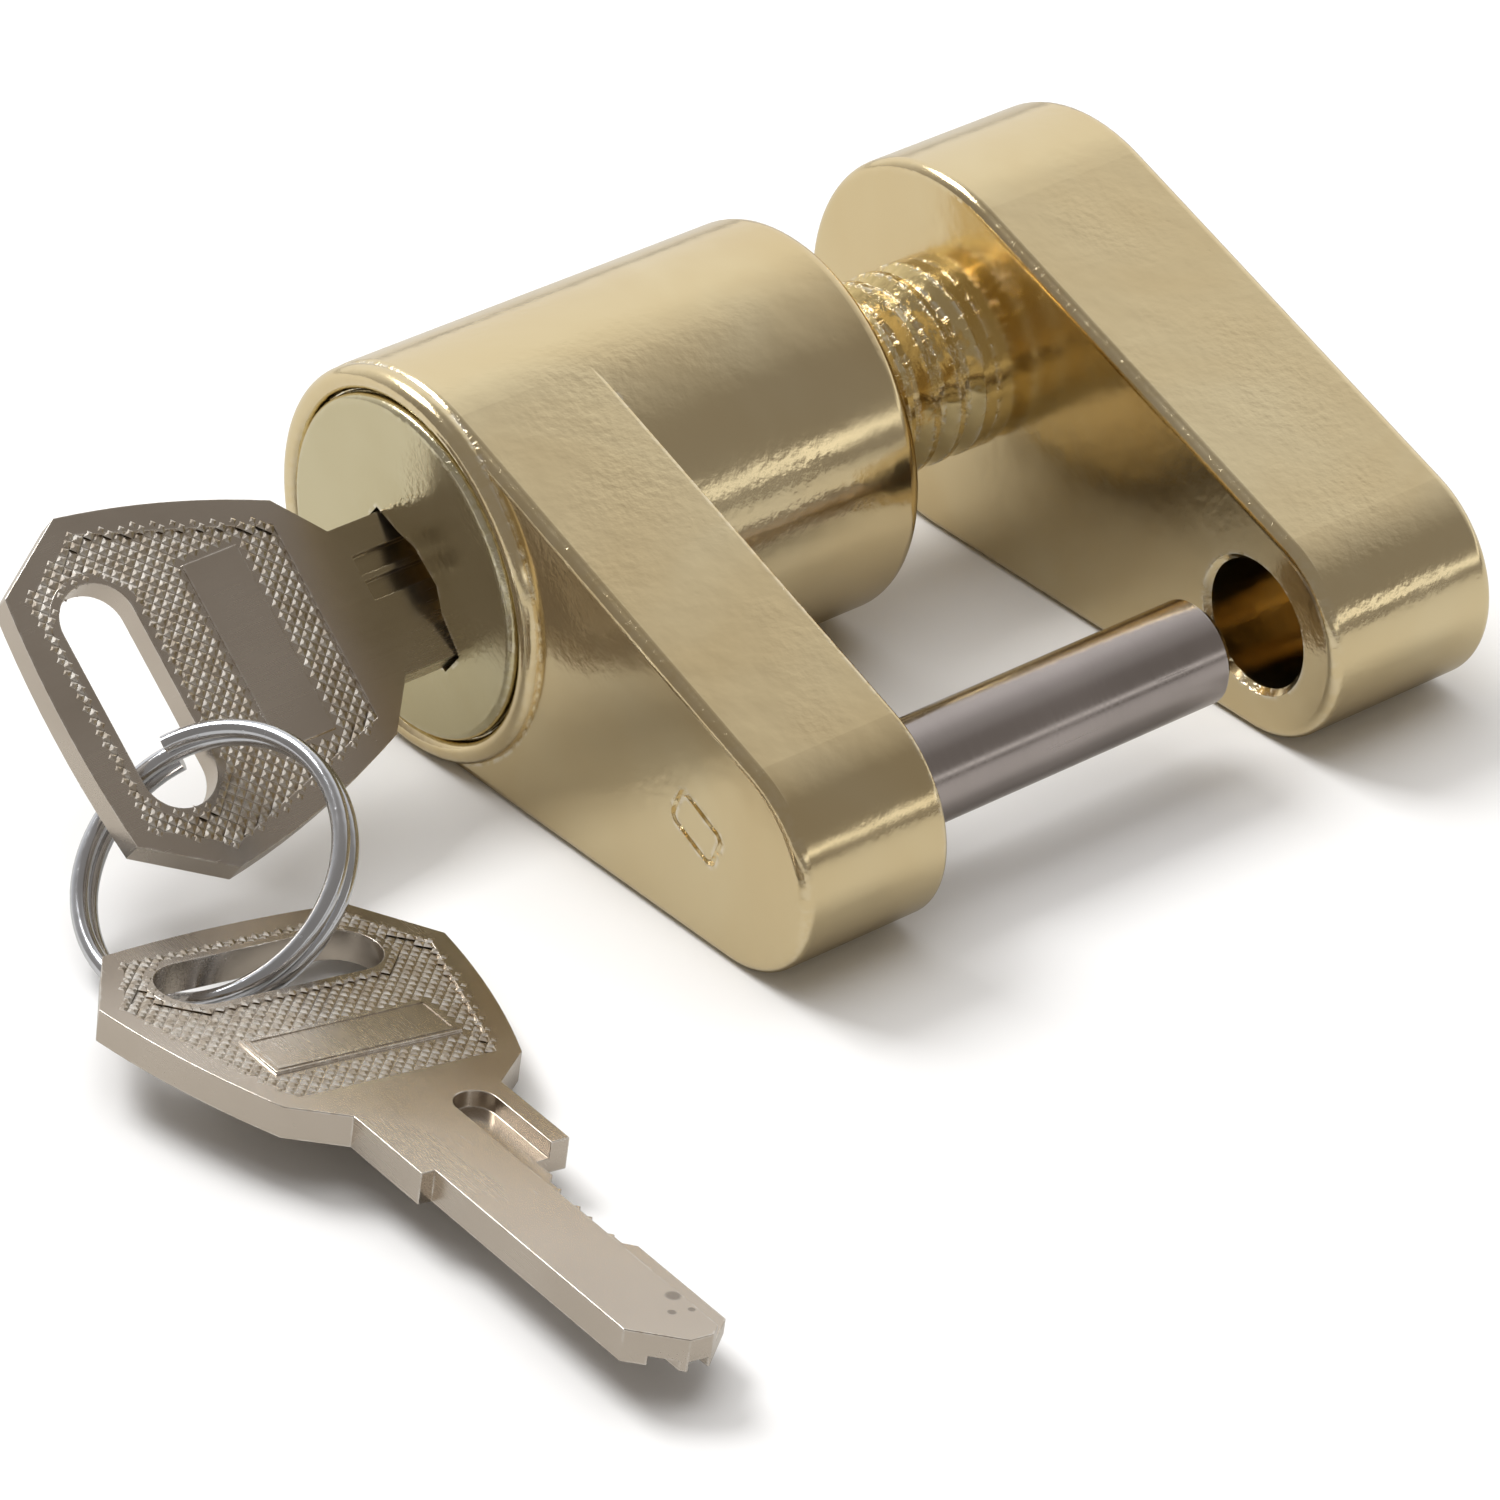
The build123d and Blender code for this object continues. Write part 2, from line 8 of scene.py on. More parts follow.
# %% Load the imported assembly
import bmesh
import bpy
import math
from mathutils import Matrix, Vector


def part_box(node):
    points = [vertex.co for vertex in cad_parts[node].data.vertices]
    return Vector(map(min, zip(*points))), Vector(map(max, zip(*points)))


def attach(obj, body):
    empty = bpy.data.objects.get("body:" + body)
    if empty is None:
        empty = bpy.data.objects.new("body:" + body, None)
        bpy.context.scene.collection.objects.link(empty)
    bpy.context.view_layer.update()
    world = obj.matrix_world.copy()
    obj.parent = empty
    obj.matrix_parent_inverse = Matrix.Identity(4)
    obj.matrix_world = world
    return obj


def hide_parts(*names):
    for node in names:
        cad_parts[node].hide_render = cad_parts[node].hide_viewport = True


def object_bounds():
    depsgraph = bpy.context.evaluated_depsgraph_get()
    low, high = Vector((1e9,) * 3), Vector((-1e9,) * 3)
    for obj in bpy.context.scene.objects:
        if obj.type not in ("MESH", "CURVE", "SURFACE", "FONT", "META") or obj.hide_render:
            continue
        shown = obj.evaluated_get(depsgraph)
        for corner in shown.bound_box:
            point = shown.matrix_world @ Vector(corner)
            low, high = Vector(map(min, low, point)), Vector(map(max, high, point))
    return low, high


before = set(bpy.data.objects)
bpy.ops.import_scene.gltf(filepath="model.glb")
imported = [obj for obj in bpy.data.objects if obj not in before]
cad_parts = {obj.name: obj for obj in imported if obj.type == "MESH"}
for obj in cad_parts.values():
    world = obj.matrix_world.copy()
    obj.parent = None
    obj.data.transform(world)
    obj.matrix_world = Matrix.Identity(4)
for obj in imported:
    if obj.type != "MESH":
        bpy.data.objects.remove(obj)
cad_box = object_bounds()
mm = 0.001
scene = bpy.context.scene
floor_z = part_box("lock_body")[0].z
print("nodes:", len(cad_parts), "floor at", round(floor_z, 5))

# %% [markdown]
# ## Small helpers for shader nodes
# A finish is a tree of nodes. These helpers keep a recipe short: one adds a node with its settings
# and its inputs, where an input may be a number or another node's output. One starts a material
# and one starts a shared group, whose sockets are declared through the tree's interface. The rest are
# single steps that every recipe needs: noise, a blend, a stretch of range, and arithmetic.

# %% Node helpers
def add(tree, kind, inputs=None, **settings):
    """Add a node, set its options, and fill its inputs with values or with other nodes' outputs."""
    made = tree.nodes.new("ShaderNode" + kind)
    for name, value in settings.items():
        setattr(made, name, value)
    for key, value in (inputs or {}).items():
        if isinstance(value, bpy.types.NodeSocket):
            tree.links.new(value, made.inputs[key])
        else:
            made.inputs[key].default_value = value
    return made


def start_group(name, inputs, outputs):
    """Make an empty shader group: inputs as (name, kind, value), outputs as (name, kind)."""
    tree = bpy.data.node_groups.new(name, "ShaderNodeTree")
    for label, kind, value in inputs:
        socket = tree.interface.new_socket(label, in_out="INPUT", socket_type="NodeSocket" + kind)
        socket.default_value = value
    for label, kind in outputs:
        tree.interface.new_socket(label, in_out="OUTPUT", socket_type="NodeSocket" + kind)
    return tree, tree.nodes.new("NodeGroupInput"), tree.nodes.new("NodeGroupOutput")


def use_group(tree, group, **values):
    """Place a shared group in a material, with its own values."""
    placed = tree.nodes.new("ShaderNodeGroup")
    placed.node_tree = group
    for label, value in values.items():
        label = label.replace("_", " ").capitalize()
        if isinstance(value, bpy.types.NodeSocket):
            tree.links.new(value, placed.inputs[label])
        else:
            placed.inputs[label].default_value = value
    return placed


def start_material(name):
    """Make a material with a Principled shader, and return it with its tree and shader."""
    material = bpy.data.materials.new(name)
    material.use_nodes = True
    tree = material.node_tree
    return material, tree, tree.nodes["Principled BSDF"]


def own_place(tree):
    """Each point's place in the object's own frame, so a texture moves with its piece."""
    return add(tree, "TexCoord").outputs["Object"]


def stored_place(tree, name):
    """The place that a mesh keeps for each of its points under this name."""
    return add(tree, "Attribute", attribute_name=name).outputs["Vector"]


def noise_at(tree, place, scale, detail, distortion=0.0):
    """Soft noise, as a value about one half."""
    inputs = {"Vector": place, "Scale": scale, "Detail": detail, "Distortion": distortion}
    return add(tree, "TexNoise", inputs).outputs["Fac"]


def mix_colour(tree, factor, first, second):
    """Blend two colours by a factor, and return the blended colour."""
    made = add(tree, "Mix", {"Factor": factor}, data_type="RGBA")
    colours = [socket for socket in made.inputs if socket.type == "RGBA"]
    for socket, value in zip(colours, (first, second)):
        if isinstance(value, bpy.types.NodeSocket):
            tree.links.new(value, socket)
        else:
            socket.default_value = value
    return next(socket for socket in made.outputs if socket.type == "RGBA")


def spread(tree, value, low, high, to_low=0.0, to_high=1.0):
    """Stretch a value from one range to another, and clamp it there."""
    made = add(
        tree,
        "MapRange",
        {"Value": value, "From Min": low, "From Max": high, "To Min": to_low, "To Max": to_high},
    )
    return made.outputs["Result"]


def combine(tree, operation, first, second):
    """One step of arithmetic."""
    made = add(tree, "Math", {0: first, 1: second}, operation=operation)
    return made.outputs["Value"]


def times(tree, first, second):
    """Multiply two values."""
    return combine(tree, "MULTIPLY", first, second)


helpers = (add, noise_at, mix_colour, spread, combine, times)
print("node helpers:", [helper.__name__ for helper in helpers])


# %% [markdown]
# ## Effects that several finishes share
# ** Worn and highlit edges** are where plating is rubbed bright, where a casting's edge is rough, and where
# the edges catch light: the pale colour laid there is partly that wear and partly a painted highlight. The
# Bevel node gives the normal that a softened edge would have. Where it differs from the true normal there is
# an edge, and noise breaks the line up, as on the real casting.
# It is a group of its own because every metal here has edges, each with its own radius and amount.

# %% Worn and highlit edges group
edge_wear_and_highlight, given, result = start_group(
    "Worn and highlit edges",
    [("Radius", "Float", 0.0005), ("Break up", "Float", 1500.0), ("Amount", "Float", 1.0)],
    [("Mask", "Float")],
)
true_dot, worn_dot = 0.995, 0.93
place = own_place(edge_wear_and_highlight)
soft = add(edge_wear_and_highlight, "Bevel", {"Radius": given.outputs["Radius"]}, samples=4).outputs["Normal"]
true = add(edge_wear_and_highlight, "NewGeometry").outputs["Normal"]
facing = add(edge_wear_and_highlight, "VectorMath", {0: soft, 1: true}, operation="DOT_PRODUCT").outputs["Value"]
edge = spread(edge_wear_and_highlight, facing, true_dot, worn_dot)
grit = noise_at(edge_wear_and_highlight, place, given.outputs["Break up"], 4.0)
broken = times(edge_wear_and_highlight, edge, spread(edge_wear_and_highlight, grit, 0.42, 0.56))
# The mask marks rubbed edges and is also where a painted highlight goes.
edge_wear_and_highlight.links.new(times(edge_wear_and_highlight, broken, given.outputs["Amount"]), result.inputs["Mask"])
print("worn and highlit edge nodes:", len(edge_wear_and_highlight.nodes))

# %% [markdown]
# **Cast skin** is what a die casting shows under thin plating: fine orange peel that is rougher in places,
# slow waves that bend the reflections, and a few pits. Sculpting these would cost millions of faces, so
# they are noise that goes to a Bump node. The pits are Voronoi cells that a slow noise lets through
# here and there, since a real casting has them in patches.

# %% Cast skin group
wave_scale = 520.0
rough_spot_scale = 95.0
pit_scale = 1500.0
pit_group_scale = 240.0
patch_scale = 70.0
cast_skin, given, result = start_group(
    "Cast skin",
    [
        ("Peel scale", "Float", 1800.0),
        ("Peel", "Float", 1.0),
        ("Waves", "Float", 1.0),
        ("Pits", "Float", 0.5),
    ],
    [("Height", "Float"), ("Patches", "Float"), ("Pit mask", "Float")],
)
place = own_place(cast_skin)
peel = noise_at(cast_skin, place, given.outputs["Peel scale"], 2.5)
waves = noise_at(cast_skin, place, wave_scale, 1.5)
cells = add(cast_skin, "TexVoronoi", {"Vector": place, "Scale": pit_scale}).outputs["Distance"]
pit_groups = spread(cast_skin, noise_at(cast_skin, place, pit_group_scale, 3.0), 0.56, 0.66)
pits = times(cast_skin, spread(cast_skin, cells, 0.22, 0.06), pit_groups)
pits = times(cast_skin, pits, given.outputs["Pits"])
rough_spots = spread(cast_skin, noise_at(cast_skin, place, rough_spot_scale, 2.0), 0.45, 0.68, 0.5, 3.0)
height = times(cast_skin, times(cast_skin, peel, rough_spots), given.outputs["Peel"])
height = combine(cast_skin, "ADD", height, times(cast_skin, waves, given.outputs["Waves"]))
height = combine(cast_skin, "SUBTRACT", height, pits)
patches = spread(cast_skin, noise_at(cast_skin, place, patch_scale, 3.0, distortion=0.6), 0.35, 0.68)
for value, name in ((height, "Height"), (patches, "Patches"), (pits, "Pit mask")):
    cast_skin.links.new(value, result.inputs[name])
print("cast skin nodes:", len(cast_skin.nodes))

# %% [markdown]
# **Handling** is the smudges and hairline scratches of metal that has been in a hand or a pocket.
# Smudges change only the gloss. A scratch is noise stretched a long way in one direction, and two
# directions are enough for the eye to take them as random.

# %% Handling group
scratch_runs = ((0.4, 60.0), (1.9, 90.0))
across_scratch = 2600.0
handling, given, result = start_group(
    "Handling",
    [
        ("Place", "Vector", (0.0, 0.0, 0.0)),
        ("Smudge scale", "Float", 120.0),
        ("Scratches", "Float", 1.0),
    ],
    [("Smudges", "Float"), ("Scratch mask", "Float")],
)
place = given.outputs["Place"]
smudge = noise_at(handling, place, given.outputs["Smudge scale"], 5.0)
marks = None
for turn, along_scratch in scratch_runs:
    turned = add(
        handling,
        "Mapping",
        {
            "Vector": place,
            "Rotation": (0.3, turn, turn),
            "Scale": (along_scratch, across_scratch, across_scratch),
        },
    )
    streak = spread(handling, noise_at(handling, turned.outputs["Vector"], 1.0, 1.0), 0.74, 0.80)
    marks = streak if marks is None else combine(handling, "MAXIMUM", marks, streak)
handling.links.new(spread(handling, smudge, 0.35, 0.70), result.inputs["Smudges"])
handling.links.new(times(handling, marks, given.outputs["Scratches"]), result.inputs["Scratch mask"])
print("shared groups:", [tree.name for tree in bpy.data.node_groups])

# %% [markdown]
# ## The finishes
# Plated brass is one metal with a colour that drifts a little and a roughness that drifts more.
# The same recipe with other numbers makes the castings, the polished post, the brushed face plate
# and the plain machined brass inside.

# %% Plated brass
# Pale edge colour: partly rubbed plating, partly a painted highlight for the light the edges catch.
rubbed_and_highlit_brass = (0.99, 0.94, 0.80, 1.0)
edge_relief = 3.5


def finish_metal(tree, shader, tone, gloss, relief, bump):
    """Lead a metal's colour, gloss and relief to its shader."""
    bumped = add(tree, "Bump", {"Height": relief, "Strength": 1.0, "Distance": bump})
    shader.inputs["Metallic"].default_value = 1.0
    tree.links.new(tone, shader.inputs["Base Color"])
    tree.links.new(gloss, shader.inputs["Roughness"])
    tree.links.new(bumped.outputs["Normal"], shader.inputs["Normal"])


def plated_brass(name, bright, deep, roughness, peel_scale, peel, waves, pits, bump, wear, scratches=0.08):
    """Brass plating over a casting: two tones, uneven gloss, orange peel, pits, and pale edges that are
    partly wear and partly a painted highlight, as strong as wear sets.
    """
    material, tree, shader = start_material(name)
    skin = use_group(tree, cast_skin, peel_scale=peel_scale, peel=peel, waves=waves, pits=pits)
    edges = use_group(tree, edge_wear_and_highlight, amount=wear)
    touch = use_group(tree, handling, place=own_place(tree), scratches=scratches)
    tone = mix_colour(tree, skin.outputs["Patches"], deep, bright)
    # Painted highlight and wear: the edges blend to the pale brass.
    tone = mix_colour(tree, edges.outputs["Mask"], tone, rubbed_and_highlit_brass)
    gloss = spread(tree, touch.outputs["Smudges"], 0.0, 1.0, roughness * 0.8, roughness * 1.3)
    gloss = combine(tree, "ADD", gloss, times(tree, touch.outputs["Scratch mask"], 0.08))
    gloss = combine(tree, "ADD", gloss, times(tree, skin.outputs["Pit mask"], 0.1))
    worn = times(tree, edges.outputs["Mask"], edge_relief)
    relief = combine(tree, "SUBTRACT", skin.outputs["Height"], worn)
    finish_metal(tree, shader, tone, gloss, relief, bump)
    return material


casting_brass = plated_brass(
    "Casting brass", (0.83, 0.70, 0.44, 1.0), (0.77, 0.62, 0.36, 1.0),
    roughness=0.15, peel_scale=1900.0, peel=0.7, waves=2.0, pits=0.25, bump=0.000012, wear=1.0,
)
post_brass = plated_brass(
    "Post brass", (0.86, 0.72, 0.40, 1.0), (0.76, 0.58, 0.26, 1.0),
    roughness=0.13, peel_scale=1200.0, peel=1.0, waves=4.0, pits=0.2, bump=0.00003, wear=0.8,
)
face_brass = plated_brass(
    "Face plate brass", (0.68, 0.615, 0.405, 1.0), (0.60, 0.53, 0.32, 1.0),
    roughness=0.20, peel_scale=2600.0, peel=1.0, waves=2.0, pits=0.5, bump=0.000016, wear=1.0,
)
cylinder_brass = plated_brass(
    "Machined brass", (0.70, 0.53, 0.24, 1.0), (0.60, 0.43, 0.17, 1.0),
    roughness=0.30, peel_scale=2400.0, peel=0.6, waves=0.5, pits=0.1, bump=0.000008, wear=0.4,
)
print("brass finishes:", [m.name for m in (casting_brass, post_brass, face_brass, cylinder_brass)])

# %% [markdown]
# ## Steel, zinc and nickel
# The key maker leaves a few small punched dots near the tip of a key. Three real dents would be lost in the
# mesh, so each is a distance from a point in the key's own frame, turned into a soft round mask. The key is
# painted dark inside these masks: painted shade that stands in for the shade inside the dents.

# %% Stamped marks
def stamped_marks(tree, place, marks):
    """A mask of small round marks, given as (along, across, radius) in the piece's own frame."""
    flat = add(tree, "VectorMath", {0: place, 1: (1.0, 1.0, 0.0)}, operation="MULTIPLY").outputs["Vector"]
    mask = 0.0
    for along, across, radius in marks:
        spot = (along * mm, across * mm, 0.0)
        away = add(tree, "VectorMath", {0: flat, 1: spot}, operation="DISTANCE").outputs["Value"]
        mask = combine(tree, "MAXIMUM", mask, spread(tree, away, radius * mm, 0.6 * radius * mm))
    return mask


tip_marks = ((42.3, 0.4, 0.5), (43.6, -0.6, 0.28), (43.8, 0.5, 0.24))
print("marks near a key's tip:", len(tip_marks))

# %% [markdown]
# Steel comes three ways here: the pin is ground and polished round its axis, the springs and the clip are
# plain drawn stock, and the ring is bright zinc over drawn wire. The keys are nickel plate over stamped
# brass, brushed along the blade. Fine lines that run one way are noise that changes slowly along the
# lines and fast across them, so one recipe with other scales makes them all.

# %% Steels
# Pale edge colour for the steels and nickel: partly rubbed metal, partly a painted highlight.
rubbed_and_highlit_steel = (0.92, 0.90, 0.86, 1.0)
# Painted shade for the punched dots near the tip, in place of real dents.
painted_dent_shade = (0.32, 0.28, 0.24, 1.0)
fine_edge = 0.18 * mm


def lined_metal(
    name, bright, dark, roughness, line_scale, bump, scratches=1.0, place_name=None, unevenness=0.25, marks=()
):
    """Metal with fine lines one way: line_scale gives the noise's scale on each axis."""
    material, tree, shader = start_material(name)
    place = stored_place(tree, place_name) if place_name else own_place(tree)
    stretched = add(tree, "Mapping", {"Vector": place, "Scale": line_scale})
    lines = noise_at(tree, stretched.outputs["Vector"], 1.0, 3.0)
    touch = use_group(tree, handling, place=place, scratches=scratches)
    edges = use_group(tree, edge_wear_and_highlight, radius=fine_edge, amount=0.7)
    tone = mix_colour(tree, touch.outputs["Smudges"], dark, bright)
    # Painted highlight and wear: the edges blend to the pale steel.
    tone = mix_colour(tree, edges.outputs["Mask"], tone, rubbed_and_highlit_steel)
    # Painted shade: the punched dots are darkened, since the dents themselves are not modelled.
    if marks:
        tone = mix_colour(tree, stamped_marks(tree, place, marks), tone, painted_dent_shade)
    gloss = spread(tree, lines, 0.3, 0.7, roughness * (1 - unevenness), roughness * (1 + unevenness))
    gloss = combine(tree, "ADD", gloss, times(tree, touch.outputs["Smudges"], 0.05))
    gloss = combine(tree, "ADD", gloss, times(tree, touch.outputs["Scratch mask"], 0.15))
    relief = combine(tree, "SUBTRACT", lines, times(tree, touch.outputs["Scratch mask"], 0.8))
    finish_metal(tree, shader, tone, gloss, relief, bump)
    return material


pin_steel = lined_metal(
    "Ground pin steel", (0.46, 0.415, 0.40, 1.0), (0.40, 0.36, 0.345, 1.0),
    roughness=0.17, line_scale=(5000.0, 90.0, 90.0), bump=0.000002,
)
plain_steel = lined_metal(
    "Drawn spring steel", (0.46, 0.46, 0.48, 1.0), (0.36, 0.36, 0.38, 1.0),
    roughness=0.25, line_scale=(900.0, 900.0, 900.0), bump=0.000003,
)
ring_zinc = lined_metal(
    "Bright zinc wire", (0.74, 0.76, 0.80, 1.0), (0.60, 0.62, 0.66, 1.0),
    roughness=0.13, line_scale=(700.0, 700.0, 700.0), bump=0.000003,
)
key_nickel = lined_metal(
    "Key nickel", (0.62, 0.555, 0.48, 1.0), (0.56, 0.495, 0.42, 1.0),
    roughness=0.23, line_scale=(200.0, 9000.0, 9000.0), bump=0.0000003,
    scratches=0.1, place_name="key_place", unevenness=0.07, marks=tip_marks,
)
coined_nickel = lined_metal(
    "Coined nickel", (0.60, 0.53, 0.44, 1.0), (0.54, 0.47, 0.385, 1.0),
    roughness=0.30, line_scale=(2500.0, 2500.0, 2500.0), bump=0.000002,
    scratches=0.0, place_name="key_place", unevenness=0.2,
)
print("finishes:", [m.name for m in bpy.data.materials if m.use_nodes and m.node_tree.nodes.get("Group")])


# %% [markdown]
# ## Give the CAD pieces their finish
# A CAD piece keeps its mesh, because its shape is already right. Only the material in its slot is changed.
# The hidden pieces get a finish too: they come into view when the lock is opened or the key is drawn.

# %% Finishes for the carried-over pieces
def finish(node, material):
    """Put a material in every slot of a CAD node."""
    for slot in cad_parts[node].material_slots:
        slot.material = material


finishes = {
    "lock_body": casting_brass,
    "far_link": casting_brass,
    "ringed_post": post_brass,
    "face_plate": face_brass,
    "cylinder_shell": cylinder_brass,
    "plug": cylinder_brass,
    "plug_cam": cylinder_brass,
    "plug_clip": plain_steel,
    "latch_bar": plain_steel,
    "latch_springs": plain_steel,
    "wafer_springs": plain_steel,
    "hitch_pin": pin_steel,
    "split_ring": ring_zinc,
}
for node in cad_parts:
    finish(node, finishes.get(node, key_nickel if "key" in node else cylinder_brass))
print("finished nodes:", len(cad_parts))


# %% [markdown]
# ## The keys
# A stamped key has three things that plain CAD leaves out: its edges are softly rounded, its bow has a
# coined field of small blunt pyramids, and a blank label stands framed in that field.
# To work on a key it helps to have its own axes. The mesh itself gives them: its widest flat face looks
# through the thickness, and its longest straight edge runs along the blade.

# %% Find a key's own axes from its mesh
merge_distance = 0.002 * mm
flat_angle = math.radians(1.0)
bow_length = 12 * mm


def read_solid(node):
    """A node's mesh with doubled corners merged and flat areas joined to single faces."""
    work = bmesh.new()
    work.from_mesh(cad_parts[node].data)
    bmesh.ops.remove_doubles(work, verts=work.verts, dist=merge_distance)
    bmesh.ops.dissolve_limit(work, angle_limit=flat_angle, verts=work.verts, edges=work.edges)
    return work


def key_axes(work):
    """The key's frame: X from the bow's end to the tip, Y across, Z through its thickness."""
    along_edge = max(work.edges, key=lambda edge: edge.calc_length())
    widest = max(work.faces, key=lambda face: face.calc_area())
    up = widest.normal.normalized()
    if up.z < 0:
        up.negate()
    along = along_edge.verts[0].co - along_edge.verts[1].co
    along = (along - up * along.dot(up)).normalized()
    across = up.cross(along)
    wide = max(work.verts, key=lambda v: abs((v.co - widest.calc_center_median()).dot(across)))
    reach = [v.co.dot(along) for v in work.verts]
    if wide.co.dot(along) > (min(reach) + max(reach)) / 2:
        along.negate()
        across.negate()
        reach = [-value for value in reach]
    bow = [v.co for v in work.verts if v.co.dot(along) < min(reach) + bow_length]
    sides = [point.dot(across) for point in bow]
    levels = [v.co.dot(up) for v in work.verts]
    origin = along * min(reach)
    origin += across * (min(sides) + max(sides)) / 2
    origin += up * (min(levels) + max(levels)) / 2
    turned = Matrix((along, across, up)).transposed().to_4x4()
    turned.translation = origin
    return turned, (max(levels) - min(levels)) / 2


for node in ("key_in_lock", "spare_key"):
    work = read_solid(node)
    print(node, "faces once its flat areas are joined:", len(work.faces))
    work.free()

# %% [markdown]
# The rounded blank is a copy of the CAD key with its flat faces cleaned and its sharp edges bevelled. A
# Bevel modifier could do the same, but its result changes with every doubled point of the CAD mesh, so
# the edges are picked by their angle here. A Weighted Normal modifier then keeps the flat faces flat in
# shade, so the light rolls off only at the rounded edge.

# %% The blank with its rounded edges
sharp_angle = math.radians(35)
smooth_angle = math.radians(50)


def store_place(mesh, axes):
    """Keep each point's place in the key's own frame, for grain that runs along the key."""
    place = mesh.attributes.new("key_place", "FLOAT_VECTOR", "POINT")
    inverse = axes.inverted()
    for index, vertex in enumerate(mesh.vertices):
        place.data[index].vector = inverse @ vertex.co


def new_piece(name, work, axes, material):
    """Turn finished mesh work into an object with its material and its place in the key's frame."""
    mesh = bpy.data.meshes.new(name)
    work.to_mesh(mesh)
    work.free()
    store_place(mesh, axes)
    mesh.materials.append(material)
    piece = bpy.data.objects.new(name, mesh)
    scene.collection.objects.link(piece)
    return piece


def rounded_blank(name, work, axes, rounding):
    """Bevel every sharp edge of the key, and keep its flat faces flat in shade."""
    joined = [edge for edge in work.edges if len(edge.link_faces) == 2]
    sharp = [edge for edge in joined if edge.calc_face_angle() > sharp_angle]
    bmesh.ops.bevel(
        work,
        geom=sharp,
        offset=rounding,
        offset_type="OFFSET",
        segments=2,
        profile=0.5,
        affect="EDGES",
        clamp_overlap=True,
    )
    piece = new_piece(name, work, axes, key_nickel)
    piece.data.shade_smooth()
    piece.data.set_sharp_from_angle(angle=smooth_angle)
    even_shade = piece.modifiers.new("Flat faces stay flat", "WEIGHTED_NORMAL")
    even_shade.mode = "FACE_AREA"
    even_shade.weight = 100
    even_shade.keep_sharp = True
    return piece


print("bevelled: every edge sharper than", round(math.degrees(sharp_angle)), "degrees")

# %% [markdown]
# The coined field is a grid of blunt pyramids at 45 degrees to the blade. It could be a bump texture, but
# each facet catches the light on its own when the key turns, and only real geometry does that. A
# pyramid is kept where it is clear of the border, the slot and the label, and it stands lower where
# the key's face is sunk.

# %% The coined field
bow_end_bulge = 0.45
knurl_pitch = 0.54
knurl_base = 0.52
knurl_top = 0.14
knurl_height = 0.075
knurl_root = 0.02
bow_span = 30
field_sink = 0.14
rim_sink = 0.03
field_outline = [(1.0, 7.55), (5.4, 10.35), (11.4, 8.95), (17.2, 6.75)]
sunk_outline = [(1.75, 7.0), (6.0, 9.7), (11.8, 8.3), (17.3, 6.0)]
slot_middle = 4.5
slot_half_length = 4.7
slot_edge = 2.3
slot_rim = 0.6
label_middle = 12.6
label_half = (1.85, 5.95)


def inside(outline, u, v):
    """Whether a point lies inside an outline given from the bow's end to its root, the same on both sides."""
    for (u0, v0), (u1, v1) in zip(outline, outline[1:]):
        if u0 <= u <= u1:
            return abs(v) < v0 + (v1 - v0) * (u - u0) / (u1 - u0) - knurl_base / 2
    return False


def from_slot(u, v):
    """Distance from the middle line of the bow's slot."""
    return math.hypot(u - slot_middle, max(abs(v) - slot_half_length, 0))


def in_field(u, v):
    """Whether a pyramid at this point of the bow is clear of the border, the slot and the label."""
    margin = knurl_base / 2
    in_label = abs(u - label_middle) < label_half[0] + margin and abs(v) < label_half[1] + margin
    return inside(field_outline, u, v) and from_slot(u, v) > slot_edge + margin and not in_label


def is_sunk(u, v):
    """Whether the key's face is sunk at this point."""
    return inside(sunk_outline, u, v) and from_slot(u, v) > slot_edge + slot_rim + knurl_base / 2


def join_loops(work, first, second):
    """Close the band between two loops of four corners."""
    for corner in range(4):
        after = (corner + 1) % 4
        work.faces.new((first[corner], first[after], second[after], second[corner]))


def pyramid(work, u, v, side, level):
    """One blunt pyramid on a face of the bow: a four-sided frustum that stands on the given level."""
    rings = []
    for width, rise in ((knurl_base, -knurl_root), (knurl_top, knurl_height)):
        reach = width / math.sqrt(2)
        steps = ((reach, 0), (0, reach), (-reach, 0), (0, -reach))
        height = side * (level + rise)
        places = [(u + along, v + across, height) for along, across in steps]
        rings.append([work.verts.new(Vector(place) * mm) for place in places])
    low, high = rings
    work.faces.new(high)
    work.faces.new(low[::-1])
    join_loops(work, low, high)


def coined_field(name, axes, half_thickness):
    """Blunt pyramids in a slanted grid on both faces of the bow."""
    work = bmesh.new()
    count = int(bow_span / knurl_pitch)
    step = knurl_pitch * math.sqrt(0.5)
    for row in range(-count, count):
        for column in range(-count, count):
            u = (row - column) * step + label_middle - label_half[0]
            v = (row + column) * step
            if not in_field(u, v):
                continue
            sink = field_sink if is_sunk(u, v) else rim_sink
            for side in (1, -1):
                pyramid(work, u, v, side, half_thickness / mm - sink)
    bmesh.ops.recalc_face_normals(work, faces=work.faces)
    work.transform(axes @ Matrix.Translation((bow_end_bulge * mm, 0, 0)))
    return new_piece(name, work, axes, coined_nickel)


slope = math.atan2(knurl_height, (knurl_base - knurl_top) / 2)
print("the pyramids' sides slope", round(math.degrees(slope), 1), "degrees")

# %% [markdown]
# The spare key's label has a thin raised frame, stamped in one blow with the field. It is a closed ring with
# a rectangular section, so it can be made from four loops of four corners, joined one to the next.

# %% The label's frame
frame_inset = 0.22
frame_width = 0.20
frame_height = 0.06


